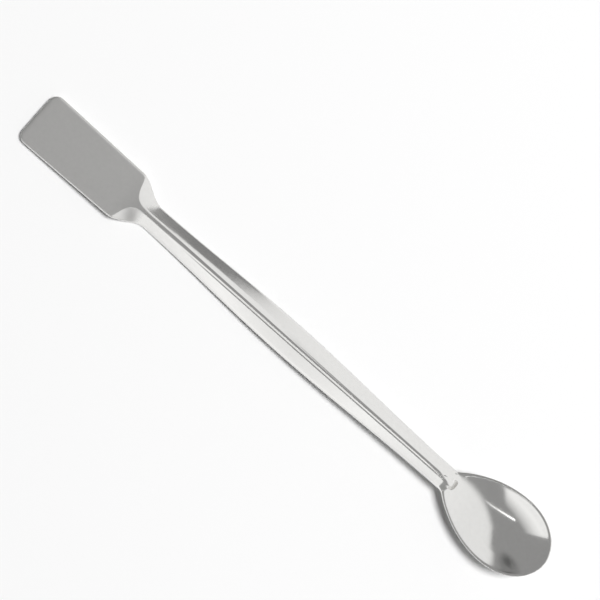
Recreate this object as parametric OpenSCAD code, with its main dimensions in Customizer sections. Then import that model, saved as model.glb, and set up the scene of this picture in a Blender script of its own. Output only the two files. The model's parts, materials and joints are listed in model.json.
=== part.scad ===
// Laboratory spoon spatula, pressed in one piece from a strip of steel sheet.
// One end is a flat blade, the other a small egg-shaped spoon. Between them both sides of the strip are
// folded down into a ridge that is open underneath, is widest near mid length and ends over the spoon in
// a rounded nose. The part lies as it rests on a table: on the belly of the spoon and on the two edges of
// the ridge next to the blade. Millimetres, +X from the blade to the spoon, +Z up.

/* [Sheet] */
// Length over all, from the edge of the blade to the tip of the spoon
total_len = 200; // [160:1:260]
// Thickness of the sheet
sheet_t = 1; // [0.6:0.05:1.4]
// Width of the rounding of the sheet's edges
edge_w = 0.7; // [0.4:0.05:1]

/* [Blade] */
// Length of the blade, from its edge to where the outline starts to narrow
blade_len = 35.5; // [20:0.5:60]
// Width of the blade at its edge
blade_w = 17.8; // [13:0.1:26]
// Width of the blade at the shoulders
blade_root_w = 16.6; // [13:0.1:26]
// Radius of the two corners of the edge
corner_r = 3; // [1:0.1:5]
// Length over which the edge is ground to a rounded lip
lip_len = 1.4; // [0.5:0.1:3]

/* [Shoulders] */
// Length over which the outline narrows from the blade to the handle
shoulder_len = 10.5; // [6:0.5:20]
// Distance from the start of the shoulders to where the two folds begin
fold_start = 1.2; // [0:0.1:4]
// Length over which the sides fold down to the full height of the ridge
fold_len = 9.6; // [6:0.2:20]
// Length in which the fold lines swing most of the way in to the crest
fold_swing = 1.6; // [1:0.1:4]
// Radius of the folds where they begin at the shoulders
shoulder_r = 0.5; // [0.3:0.1:1]

/* [Handle] */
// Width of the handle next to the shoulders
handle_w = 7.9; // [6:0.1:12]
// Width of the handle where it is widest
handle_mid_w = 10.5; // [6:0.1:16]
// Distance from the edge of the blade to the widest place of the handle
handle_mid_x = 100; // [70:1:120]
// Width of the neck, where the handle meets the spoon
neck_w = 7.5; // [6:0.1:12]
// Height of the ridge above the edges of the handle
ridge_h = 2.8; // [1.5:0.1:4]
// Width of the level top of the crest
crest_w = 0.2; // [0.2:0.1:1.5]
// Radius of the folds on either side of the crest
crest_r = 0.9; // [0.6:0.1:3]

/* [Spoon] */
// Length of the spoon, from the neck to the tip
spoon_len = 36.7; // [28:0.1:55]
// Width of the spoon
spoon_w = 23.4; // [16:0.1:34]
// Distance from the widest place of the spoon to its tip
spoon_front = 15; // [9:0.5:20]
// Fullness of the egg next to the neck, where a smaller number is fuller
egg_power = 0.84; // [0.7:0.01:1]
// Depth of the bowl below the rim
bowl_depth = 5.4; // [3:0.1:10]
// Height of the rim at the tip above the rim at the neck
rim_rise = 1.5; // [0:0.1:4]
// Length of the nose, from the end of the level crest to its foot in the spoon
nose_len = 6.3; // [4:0.1:10]
// Distance from the neck to the foot of the nose
nose_reach = 1.9; // [0:0.1:4]
// Width of the blend where the nose and the neck run into the bowl
nose_blend = 0.8; // [0.4:0.1:1.5]

/* [Hidden] */

fold_x = blade_len + fold_start;
handle_x = blade_len + shoulder_len;
neck_x = total_len - spoon_len;
nose_x = neck_x + nose_reach - nose_len;
widest_x = total_len - spoon_front;

// Half the width that the outline keeps at the tip of the spoon, so that the last section isn't a point
tip_half = sheet_t / 2;
// Run before the end of the crest and after the neck in which the ridge and the bowl are blended
neck_run = 4;
// Power that sets how soon the sides drop at the shoulders
drop_power = 0.8;
// Least width of a folded side, so that the folds have a start
least_side = 0.1;
// Largest share of the radius that fits a folded side, and of the half width for the rounding of an edge
fold_limit = 0.8;
edge_limit = 0.4;
// Height of the ellipse along which the nose drops, as a share of the height of the ridge
nose_share = 1.25;
// Slope of the nose below the bowl, in heights of the ellipse per length of the nose
nose_fall = 9;
// Share of a level start in the lengthwise curve of the bowl
level_share = 0.35;

// Spans across half a section: the crest, the rounded fold, the folded side and the rounded edge
n_crest = 2;
n_fold = 5;
n_side = 3;
n_edge = 3;
n_half = n_crest + n_fold + n_side + n_edge;
// Shares of the half width at which the crest's and the fold's spans end inside the bowl
bowl_marks = [0.2, 0.72];

function mix(a, b, u) = a + (b - a) * u;
function ease(a, b, x) = let (u = min(max((x - a) / (b - a), 0), 1)) u * u * (3 - 2 * u);
// Evenly spaced values after a, up to and with b
function spaced(a, b, n) = [for (i = [1 : n]) mix(a, b, i / n)];
// Larger of two values, with the corner between them filled by a blend of width k
function soft_max(a, b, k) = max(a, b) + (k > 0 ? pow(max(k - abs(a - b), 0), 2) / (4 * k) : 0);
// Share of the thickness that a round edge of run r has at the distance d from its rim
function round_edge(d, r) = d >= r ? 1 : sqrt(max(1 - pow(1 - d / r, 2), 0));

// Outline: half the width of the part at x, for the blade, the handle and the spoon by themselves
function corner_cut(x) = x < corner_r ? corner_r - sqrt(pow(corner_r, 2) - pow(corner_r - x, 2)) : 0;
function blade_half(x) = mix(blade_w, blade_root_w, x / blade_len) / 2 - corner_cut(x);
function handle_half(x) =
    let (
        end_w = x < handle_mid_x ? handle_w : neck_w,
        end_x = x < handle_mid_x ? handle_x : nose_x,
        u = min(abs((x - handle_mid_x) / (end_x - handle_mid_x)), 1)
    )
    mix(end_w, handle_mid_w, pow(cos(90 * u), 2)) / 2;
function spoon_half(x) =
    x < neck_x ? neck_w / 2 - (neck_x - x)
    : x < widest_x ? mix(neck_w, spoon_w, sin(90 * pow((x - neck_x) / (widest_x - neck_x), egg_power))) / 2
    : max(spoon_w / 2 * sqrt(max(1 - pow((x - widest_x) / spoon_front, 2), 0)), tip_half);
function half_w(x) =
    x < handle_x ? mix(blade_half(x), handle_half(x), ease(blade_len, handle_x, x))
    : x < widest_x ? soft_max(handle_half(x), spoon_half(x), nose_blend)
    : spoon_half(x);

// Half the distance between the two fold lines, which leave the outline at fold_x and swing in to the crest
function fold_half(x) =
    x < fold_x ? half_w(x)
    : mix(crest_w / 2, half_w(fold_x), exp((fold_x - x) / fold_swing));
// Width of a folded side, from its fold line to the outline
function side_w(x) = max(half_w(x) - fold_half(x), least_side);
// Depth of the handle's edges below the blade and the crest, with a soft start
function edge_drop(x) = ridge_h * sin(90 * pow(min(max((x - fold_x) / fold_len, 0), 1), drop_power));
// Radius of the folds, and the angle of the sides that run on from them to the edges
function fold_r(x) =
    let (
        w = side_w(x),
        d = edge_drop(x)
    )
    min(mix(shoulder_r, crest_r, ease(fold_x, fold_x + fold_len, x)), fold_limit * (w * w + d * d) / (2 * d));
function fold_turn(x) =
    let (
        w = side_w(x),
        r = fold_r(x),
        rise = r - edge_drop(x)
    )
    atan2(w, rise) - acos(r / norm([w, rise]));
// Drop at the distance s from a fold line, along an arc of radius r and then along a slope of the given angle
function fold_drop(s, r, turn) =
    let (run = r * sin(turn))
    s <= 0 ? 0
    : s < run ? r - sqrt(r * r - s * s)
    : r * (1 - cos(turn)) + (s - run) * tan(turn);

// Drop of the nose after the level crest, along a quarter of an ellipse and then steeply on below the bowl
function nose_drop(x) =
    let (u = max((x - nose_x) / nose_len, 0))
    nose_share * ridge_h * (1 - sqrt(1 - pow(min(u, 1), 2)) + nose_fall * max(u - 1, 0));
// Middle of the sheet in the blade and the ridge, which ends past nose_x in the nose
function ridge_z(x, y) =
    let (at = min(x, nose_x))
    -fold_drop(abs(y) - fold_half(at), fold_r(at), fold_turn(at)) - nose_drop(x);
// Middle of the sheet in the spoon: the rim less a bowl that is deepest at the widest place
function rim_z(x) = rim_rise * pow((x - neck_x) / spoon_len, 2) - ridge_h;
function bowl_z(x, y) =
    let (
        before = x < widest_x,
        u = abs(x - widest_x) / (before ? widest_x - neck_x : spoon_front),
        share = mix(1 - u * u, pow(cos(90 * u), 2), before ? level_share : 0)
    )
    x < neck_x ? -ridge_h
    : rim_z(x) - bowl_depth * share * (1 - pow(y / half_w(x), 2));
function sheet_z(x, y) =
    x < nose_x - neck_run ? ridge_z(x, y)
    : soft_max(ridge_z(x, y), bowl_z(x, y), nose_blend * ease(nose_x - neck_run, nose_x, x));
// Normal of the sheet, taken over a patch as wide as the sheet is thick
function sheet_normal(x, y) =
    let (
        e = sheet_t / 2,
        xa = max(x - e, 0),
        xb = min(x + e, total_len),
        n = [
            (sheet_z(xa, y) - sheet_z(xb, y)) / (xb - xa),
            (sheet_z(x, y - e) - sheet_z(x, y + e)) / (2 * e),
            1
        ]
    )
    n / norm(n);

// Distance across the section in which the edge of the sheet is rounded, more where the outline runs askew
function edge_run(x) =
    let (
        e = sheet_t / 20,
        xa = max(x - e, 0),
        xb = min(x + e, total_len),
        lean = (half_w(xb) - half_w(xa)) / (xb - xa)
    )
    min(edge_w * sqrt(1 + lean * lean), edge_limit * half_w(x));
// Share of the thickness near the two ends of the part
function end_share(x) = round_edge(x, lip_len) * round_edge(total_len - x, edge_w);

// One half of the section at x, from the middle outward, as pairs of y and the share of the thickness there
function half_section(x) =
    let (
        rim = half_w(x),
        run = edge_run(x),
        flat = rim - run,
        at = min(x, nose_x),
        wide = max(fold_r(at) * sin(fold_turn(at)), shoulder_r),
        fold = min(fold_half(at), flat - wide - least_side),
        in_bowl = ease(nose_x, neck_x + neck_run, x),
        a = mix(fold, bowl_marks[0] * flat, in_bowl),
        b = mix(fold + wide, bowl_marks[1] * flat, in_bowl)
    )
    concat(
        [[0, 1]],
        [for (y = spaced(0, a, n_crest)) [y, 1]],
        [for (y = spaced(a, b, n_fold)) [y, 1]],
        [for (y = spaced(b, flat, n_side)) [y, 1]],
        [for (turn = spaced(90, 0, n_edge)) [rim - run * (1 - cos(turn)), sin(turn)]]
    );
function section(x) =
    let (half = half_section(x))
    concat(
        [for (k = [n_half : -1 : 1]) [-half[k][0], half[k][1]]],
        half
    );

// Places of the sections along the part, close together where its shape turns
stations = concat(
    [for (turn = [0 : 15 : 90]) corner_r * (1 - cos(turn))],
    spaced(corner_r, blade_len, 4),
    spaced(blade_len, fold_x + fold_len, 26),
    spaced(fold_x + fold_len, nose_x - neck_run, 14),
    spaced(nose_x - neck_run, neck_x + neck_run, 24),
    spaced(neck_x + neck_run, widest_x, 11),
    [for (turn = spaced(0, 90, 11)) widest_x + spoon_front * sin(turn)]
);
n_along = len(stations);
n_across = 2 * n_half + 1;

// Pairs of points on the top face and the underside, which meet along the rim
pairs = [
    for (x = stations)
        [
            for (place = section(x))
                let (
                    y = place[0],
                    middle = [x, y, sheet_z(x, y)],
                    half = sheet_normal(x, y) * place[1] * end_share(x) * sheet_t / 2
                )
                [middle + half, middle - half]
        ]
];
function on_rim(i, j) = i == 0 || i == n_along - 1 || j == 0 || j == n_across - 1;
function top_id(i, j) = i * n_across + j;
function low_id(i, j) =
    on_rim(i, j) ? top_id(i, j)
    : n_along * n_across + (i - 1) * (n_across - 2) + j - 1;
sheet_points = concat(
    [for (row = pairs) for (pair = row) pair[0]],
    [for (i = [1 : n_along - 2]) for (j = [1 : n_across - 2]) pairs[i][j][1]]
);
// Two triangles of a four-sided patch, cut along the diagonal from its first corner or along the other one
function patch(a, b, c, d, other) = other ? [[a, b, d], [b, c, d]] : [[a, b, c], [a, c, d]];
// In each quarter of the part the diagonals run inward from the corner of the rim
sheet_faces = [
    for (i = [0 : n_along - 2])
        for (j = [0 : n_across - 2])
            let (other = (i < n_along / 2) != (j < n_half))
            for (
                face = concat(
                    patch(top_id(i, j), top_id(i, j + 1), top_id(i + 1, j + 1), top_id(i + 1, j), other),
                    patch(low_id(i, j + 1), low_id(i, j), low_id(i + 1, j), low_id(i + 1, j + 1), !other)
                )
            )
                face
];

// Rest: the line that the underside touches before and after mid length, as its height there and its slope
lows = [
    for (row = pairs)
        let (
            heights = [for (pair = row) pair[1].z],
            least = min(heights)
        )
        [row[search(least, heights)[0]][1].x, least]
];
rest_lines = [
    for (a = lows)
        if (a.x < total_len / 2)
            for (b = lows)
                if (b.x >= total_len / 2)
                    let (slope = (b.y - a.y) / (b.x - a.x))
                    [a.y + slope * (total_len / 2 - a.x), slope]
];
rest_height = min([for (line = rest_lines) line[0]]);
rest_slope = [for (line = rest_lines) if (line[0] == rest_height) line[1]][0];
rest_tilt = atan(rest_slope);
tilted = [
    for (p = sheet_points)
        [p.x * cos(rest_tilt) + p.z * sin(rest_tilt), p.z * cos(rest_tilt) - p.x * sin(rest_tilt)]
];
tilted_x = [for (p = tilted) p.x];
tilted_z = [for (p = tilted) p.y];

module spatula() {
    color("silver")
        translate([-(min(tilted_x) + max(tilted_x)) / 2, 0, -min(tilted_z)])
            rotate([0, rest_tilt, 0])
                polyhedron(points = sheet_points, faces = sheet_faces, convexity = 6);
}

spatula();
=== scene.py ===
import json
import math

import bmesh
import bpy
from mathutils import Matrix, Vector

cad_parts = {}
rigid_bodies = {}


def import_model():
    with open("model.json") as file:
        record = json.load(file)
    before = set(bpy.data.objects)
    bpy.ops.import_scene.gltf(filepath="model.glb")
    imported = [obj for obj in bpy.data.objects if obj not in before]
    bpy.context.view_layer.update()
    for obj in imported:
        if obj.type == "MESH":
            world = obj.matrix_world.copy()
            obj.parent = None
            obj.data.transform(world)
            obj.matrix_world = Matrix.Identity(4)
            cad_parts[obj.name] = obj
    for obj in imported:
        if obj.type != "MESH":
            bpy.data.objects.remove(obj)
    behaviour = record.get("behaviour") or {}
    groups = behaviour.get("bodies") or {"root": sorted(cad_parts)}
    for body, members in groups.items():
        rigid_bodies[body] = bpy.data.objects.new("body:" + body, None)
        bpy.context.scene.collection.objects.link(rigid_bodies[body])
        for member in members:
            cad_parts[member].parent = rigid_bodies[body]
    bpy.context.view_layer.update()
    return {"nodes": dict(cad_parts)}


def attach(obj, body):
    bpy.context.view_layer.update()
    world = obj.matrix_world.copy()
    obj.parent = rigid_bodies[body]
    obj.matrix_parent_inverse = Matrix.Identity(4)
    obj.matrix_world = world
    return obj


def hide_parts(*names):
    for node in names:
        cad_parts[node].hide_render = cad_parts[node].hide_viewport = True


# Lengths are in metres. The spatula lies along X with its blade at -X and its crest at Y = 0.
# RIGHT and UP are the directions of the picture on the table. LAMP_PLACE and CAMERA_TARGET are
# measured along them and in height.
RIGHT = Vector((0.748, 0.664, 0)).normalized()
UP = Vector((-RIGHT.y, RIGHT.x, 0))
ABOVE = Vector((0, 0, 1))
MIDDLE = Vector((0, 0, 0))

# Sheet
WELD_DISTANCE = 1e-6
LARGEST_FOLD = math.radians(100)
GRID_WEIGHT = 1.6
SMOOTH_LEVELS = 2

# Steel: the rows of ..._ALONG are shares of the spatula's length and the values there
LENGTH_X = (-0.1, 0.1)
GRAIN_SCALE = 900
GRAIN_DETAIL = 4
GRAIN_ROUGHNESS = 0.06
ROUGHNESS_ALONG = ((0.17, 0.40), (0.24, 0.17), (0.31, 0.08), (0.80, 0.07), (0.86, 0.10))
DARK_GRAIN = (0.73, 0.725, 0.71, 1)
LIGHT_GRAIN = (0.79, 0.785, 0.77, 1)
# Painted shade: the bowl's colour is made a little darker, standing in for the darker room that the
# bowl reflects
BOWL_PAINTED_SHADE_ALONG = ((0.83, 1), (0.87, 0.95))

# Fine relief of the steel: a press line on the left of the crest, and a softer turn on its right.
# TURN_DEPTH is a share of RELIEF_DEPTH.
RELIEF_DEPTH = 0.0002
RELIEF_ENDS_X = (0.055, 0.064)
LINE_BEGINS_X = (-0.048, -0.018)
LINE_BEND_X = (0.005, 0.050)
LINE_Y = (-0.00080, -0.00054)
LINE_LEFT_WALL = 0.00045
LINE_RIGHT_WALL = 0.00055
TURN_Y = (-0.0004, 0.0020)
TURN_DEPTH = 0.9
TURN_BEGINS_X = (-0.055, -0.045)
TURN_ENDS_X = (-0.010, 0.020)

# Table
TABLE_SIZE = 4
TABLE_ROUGHNESS = 0.9
MOTTLE_SCALE = 3
DARK_MOTTLE = 0.9
LIGHT_MOTTLE = 0.92

# Lamp and room. The room is grey, bright to the right of the picture, and lights the table with
# only a share of what the steel shows.
LAMP_PLACE = (1.5, 0.09, 3.0)
LAMP_SIZE = 1.2
LAMP_POWER = 111.0
BRIGHT_SIDE = (0.875, 0.485, 0)
BRIGHT_FROM = (0.20, 0.38)
ROOM_LEVELS = (0.36, 1.02)
SHARE_ON_TABLE = 0.35

# Cards, before they get their own width and height
CARD_SIZE = 1

# Camera: straight above the table with a long lens
CAMERA_TARGET = (0.00332, 0.0115, 0.003)
CAMERA_HEIGHT = 0.7
PICTURE_WIDTH = 0.177
SENSOR_WIDTH_MM = 36

for item in list(bpy.data.objects):
    bpy.data.objects.remove(item)
scene = bpy.context.scene
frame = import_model()


def on_table(right, up, height):
    """A place measured from the middle of the spatula, along the picture's own directions."""
    return RIGHT * right + UP * up + ABOVE * height


def aimed(place, target, up):
    """Turn and place of a lamp, card or camera that looks at the target with its top towards up."""
    back = (place - target).normalized()
    side = up.cross(back).normalized()
    turn = Matrix((side, back.cross(side), back)).transposed()
    return Matrix.Translation(place) @ turn.to_4x4()


def new_material(name):
    """A node material, its node tree and the inputs of its Principled shader."""
    made = bpy.data.materials.new(name)
    made.use_nodes = True
    return made, made.node_tree, made.node_tree.nodes["Principled BSDF"].inputs


def grey(value):
    """A grey as a colour."""
    return (value, value, value, 1)


def mapped(tree, value, source, result, kind="LINEAR"):
    """A value mapped from the source range to the result range and clamped, as a node output."""
    made = tree.nodes.new("ShaderNodeMapRange")
    made.interpolation_type = kind
    made.inputs["From Min"].default_value, made.inputs["From Max"].default_value = source
    made.inputs["To Min"].default_value, made.inputs["To Max"].default_value = result
    tree.links.new(value, made.inputs["Value"])
    return made.outputs["Result"]


def combined(tree, operation, first, second):
    """Two values put through one operation, as a node output."""
    made = tree.nodes.new("ShaderNodeMath")
    made.operation = operation
    tree.links.new(first, made.inputs[0])
    tree.links.new(second, made.inputs[1])
    return made.outputs["Value"]


def ramp(tree, value, stops):
    """The colour that a value has on a ramp of positions and colours, as a node output."""
    made = tree.nodes.new("ShaderNodeValToRGB")
    elements = made.color_ramp.elements
    given = len(elements)
    for index, (position, colour) in enumerate(stops):
        element = elements[index] if index < given else elements.new(position)
        element.position = position
        element.color = colour
    tree.links.new(value, made.inputs["Fac"])
    return made.outputs["Color"]


# Steel sheet: the skin of the CAD node, welded, put back into four-sided patches and smoothed
node = frame["nodes"]["spatula"]
skin = bmesh.new()
skin.from_mesh(node.data)
bmesh.ops.remove_doubles(skin, verts=skin.verts, dist=WELD_DISTANCE)
bmesh.ops.join_triangles(
    skin,
    faces=skin.faces,
    angle_face_threshold=LARGEST_FOLD,
    angle_shape_threshold=math.pi,
    topology_influence=GRID_WEIGHT,
)
for face in skin.faces:
    face.smooth = True
mesh = bpy.data.meshes.new("spatula_sheet")
skin.to_mesh(mesh)
skin.free()
sheet = bpy.data.objects.new("spatula_sheet", mesh)
scene.collection.objects.link(sheet)
smooth = sheet.modifiers.new("smooth", "SUBSURF")
smooth.levels = smooth.render_levels = SMOOTH_LEVELS
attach(sheet, "root")
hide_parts("spatula")

# Stainless steel: satin on the blade, polished on the handle and the spoon, with painted shade on
# the bowl
steel, tree, shader = new_material("stainless_steel")
mesh.materials.append(steel)
shader["Metallic"].default_value = 1.0
spot = tree.nodes.new("ShaderNodeTexCoord").outputs["Object"]
split = tree.nodes.new("ShaderNodeSeparateXYZ")
tree.links.new(spot, split.inputs["Vector"])
x, y = split.outputs["X"], split.outputs["Y"]
along = mapped(tree, x, LENGTH_X, (0, 1))
grain = tree.nodes.new("ShaderNodeTexNoise")
grain.inputs["Scale"].default_value = GRAIN_SCALE
grain.inputs["Detail"].default_value = GRAIN_DETAIL
tree.links.new(spot, grain.inputs["Vector"])

finish = ramp(tree, along, [(position, grey(value)) for position, value in ROUGHNESS_ALONG])
rough = tree.nodes.new("ShaderNodeMath")
rough.operation = "MULTIPLY_ADD"
rough.inputs[1].default_value = GRAIN_ROUGHNESS
tree.links.new(grain.outputs["Fac"], rough.inputs[0])
tree.links.new(finish, rough.inputs[2])
tree.links.new(rough.outputs["Value"], shader["Roughness"])

tint = ramp(tree, grain.outputs["Fac"], [(0, DARK_GRAIN), (1, LIGHT_GRAIN)])
# Painted shade on the bowl: the steel's colour is darkened there in place of a darker reflection
bowl_painted_shade = ramp(tree, along, [(position, grey(value)) for position, value in BOWL_PAINTED_SHADE_ALONG])
colour = tree.nodes.new("ShaderNodeMixRGB")
colour.blend_type = "MULTIPLY"
colour.inputs["Fac"].default_value = 1.0
tree.links.new(tint, colour.inputs["Color1"])
tree.links.new(bowl_painted_shade, colour.inputs["Color2"])
tree.links.new(colour.outputs["Color"], shader["Base Color"])

# Press line from the shoulders to the nose, a little steeper on its left
line = mapped(tree, x, LINE_BEND_X, LINE_Y)
offset = combined(tree, "SUBTRACT", y, line)
left_wall = mapped(tree, offset, (-LINE_LEFT_WALL, 0), (0, -1), "SMOOTHSTEP")
right_wall = mapped(tree, offset, (0, LINE_RIGHT_WALL), (-1, 0), "SMOOTHSTEP")
groove = combined(tree, "MAXIMUM", left_wall, right_wall)
line_begins = mapped(tree, x, LINE_BEGINS_X, (0, 1))
groove = combined(tree, "MULTIPLY", groove, line_begins)

# Softer turn from the crest into the right slope, from the shoulders to the middle of the handle
turn = mapped(tree, y, TURN_Y, (-TURN_DEPTH, 0), "SMOOTHSTEP")
turn_begins = mapped(tree, x, TURN_BEGINS_X, (0, 1))
turn_ends = mapped(tree, x, TURN_ENDS_X, (1, 0))
turn = combined(tree, "MULTIPLY", turn, combined(tree, "MULTIPLY", turn_begins, turn_ends))

relief_ends = mapped(tree, x, RELIEF_ENDS_X, (1, 0))
relief = combined(tree, "MULTIPLY", combined(tree, "ADD", groove, turn), relief_ends)
bump = tree.nodes.new("ShaderNodeBump")
bump.inputs["Strength"].default_value = 1.0
bump.inputs["Distance"].default_value = RELIEF_DEPTH
tree.links.new(relief, bump.inputs["Height"])
tree.links.new(bump.outputs["Normal"], shader["Normal"])

# White table
bpy.ops.mesh.primitive_plane_add(size=TABLE_SIZE)
table = bpy.context.object
table.name = "table"
paper, tree, shader = new_material("white_table")
table.data.materials.append(paper)
shader["Roughness"].default_value = TABLE_ROUGHNESS
shader["Specular IOR Level"].default_value = 0.0
mottle = tree.nodes.new("ShaderNodeTexNoise")
mottle.inputs["Scale"].default_value = MOTTLE_SCALE
shade = ramp(tree, mottle.outputs["Fac"], [(0, grey(DARK_MOTTLE)), (1, grey(LIGHT_MOTTLE))])
tree.links.new(shade, shader["Base Color"])

# Lamp that lights the table and isn't seen in the steel
light = bpy.data.lights.new("key", "AREA")
light.shape = "RECTANGLE"
light.size = light.size_y = LAMP_SIZE
light.energy = LAMP_POWER
lamp = bpy.data.objects.new("key", light)
lamp.matrix_world = aimed(on_table(*LAMP_PLACE), MIDDLE, UP)
lamp.visible_glossy = False
scene.collection.objects.link(lamp)


def card(name, place, target, size, strength, fade=None, end=0.0, span=1.0, up=ABOVE):
    """A plain card that is seen only as a reflection in the steel.

    It fades to the end strength along its width (X), up its height (Y) or from its middle outwards
    (ROUND). Span is the share of the width or height that the fade takes.
    """
    bpy.ops.mesh.primitive_plane_add(size=CARD_SIZE)
    made = bpy.context.object
    made.name = name
    made.matrix_world = aimed(place, target, up) @ Matrix.Diagonal((*size, 1, 1))
    look, tree, shader = new_material(name)
    made.data.materials.append(look)
    shader["Base Color"].default_value = grey(0)
    shader["Specular IOR Level"].default_value = 0
    shader["Emission Color"].default_value = grey(1)
    shader["Emission Strength"].default_value = strength
    if fade:
        spot = tree.nodes.new("ShaderNodeTexCoord")
        if fade == "ROUND":
            away = tree.nodes.new("ShaderNodeVectorMath")
            away.operation = "LENGTH"
            tree.links.new(spot.outputs["Object"], away.inputs[0])
            distance = away.outputs["Value"]
            level = mapped(tree, distance, (0, CARD_SIZE / 2), (strength, end), "SMOOTHSTEP")
        else:
            axes = tree.nodes.new("ShaderNodeSeparateXYZ")
            tree.links.new(spot.outputs["Generated"], axes.inputs["Vector"])
            level = mapped(tree, axes.outputs[fade], (0, span), (strength, end))
        tree.links.new(level, shader["Emission Strength"])
    made.visible_camera = False
    made.visible_diffuse = False
    made.visible_shadow = False


# Bright line in the bowl
card(
    "streak",
    place=Vector((0.5724, -1.3082, 2.0)),
    target=Vector((-0.0376, 0.0418, 0)),
    size=(1.547, 0.08),
    strength=5,
    fade="X",
    end=1.6,
)
# Light left slope, and light patch on the right of the bowl: two cards, one above the other
card(
    "white_side",
    place=Vector((0.0295, -0.4203, 0.08)),
    target=Vector((0.2105, -0.0643, 0.08)),
    size=(0.515, 0.16),
    strength=0.94,
    fade="Y",
    end=1.2,
)
card(
    "white_fade",
    place=Vector((0.0295, -0.4203, 0.31)),
    target=Vector((0.2105, -0.0643, 0.31)),
    size=(0.515, 0.30),
    strength=1.2,
    fade="Y",
    end=0.36,
)
# Light band on the right of the crest
card(
    "white_band",
    place=Vector((-0.1539, 0.2868, 0.55)),
    target=Vector((-0.9199, -0.3562, 0.55)),
    size=(0.45, 0.92),
    strength=1.0,
)
# Dark right slope next to the blade
card(
    "dark_side",
    place=Vector((-0.217, 0.30, 0.07)),
    target=Vector((-0.217, 0, 0.07)),
    size=(0.35, 0.14),
    strength=0.27,
)
# Dark right slope further on, and dark patch at the lower rim of the bowl
card(
    "dark_corner",
    place=Vector((-0.29, 0.55, 0.36)),
    target=Vector((0.085, 0, 0.36)),
    size=(0.5, 0.7),
    strength=0.13,
    fade="ROUND",
    end=0.36,
)
# Lower end of the edge between light and dark in the bowl
card(
    "grey_near",
    place=Vector((0.0902, 0.035, 0.0775)),
    target=Vector((0.0902, 0, 0.0775)),
    size=(0.0098, 0.0978),
    strength=1.0,
    fade="X",
    end=0.34,
    span=0.45,
    up=Vector((0.226, 0, 0.974)),
)
# Dark end of the room beyond the blade, which the steel shows when seen from the spoon's end
card(
    "dark_end",
    place=Vector((-0.25, 0, 0.05)),
    target=Vector((0, 0, 0.05)),
    size=(0.3, 0.1),
    strength=0.08,
)

# Room
room = bpy.data.worlds.new("room")
scene.world = room
room.use_nodes = True
tree = room.node_tree
spot = tree.nodes.new("ShaderNodeTexCoord").outputs["Generated"]
side = tree.nodes.new("ShaderNodeVectorMath")
side.operation = "DOT_PRODUCT"
side.inputs[1].default_value = BRIGHT_SIDE
tree.links.new(spot, side.inputs[0])
fall = mapped(tree, side.outputs["Value"], BRIGHT_FROM, ROOM_LEVELS, "SMOOTHSTEP")
path = tree.nodes.new("ShaderNodeLightPath")
share = mapped(tree, path.outputs["Is Diffuse Ray"], (0, 1), (1, SHARE_ON_TABLE))
background = tree.nodes["Background"].inputs
background["Color"].default_value = grey(1)
tree.links.new(combined(tree, "MULTIPLY", fall, share), background["Strength"])

# Camera
lens = bpy.data.cameras.new("camera")
camera = bpy.data.objects.new("camera", lens)
scene.collection.objects.link(camera)
scene.camera = camera
lens.sensor_width = SENSOR_WIDTH_MM
lens.lens = SENSOR_WIDTH_MM * CAMERA_HEIGHT / PICTURE_WIDTH
centre = on_table(*CAMERA_TARGET)
camera.matrix_world = aimed(centre + ABOVE * CAMERA_HEIGHT, centre, UP)

scene.view_settings.view_transform = "Standard"
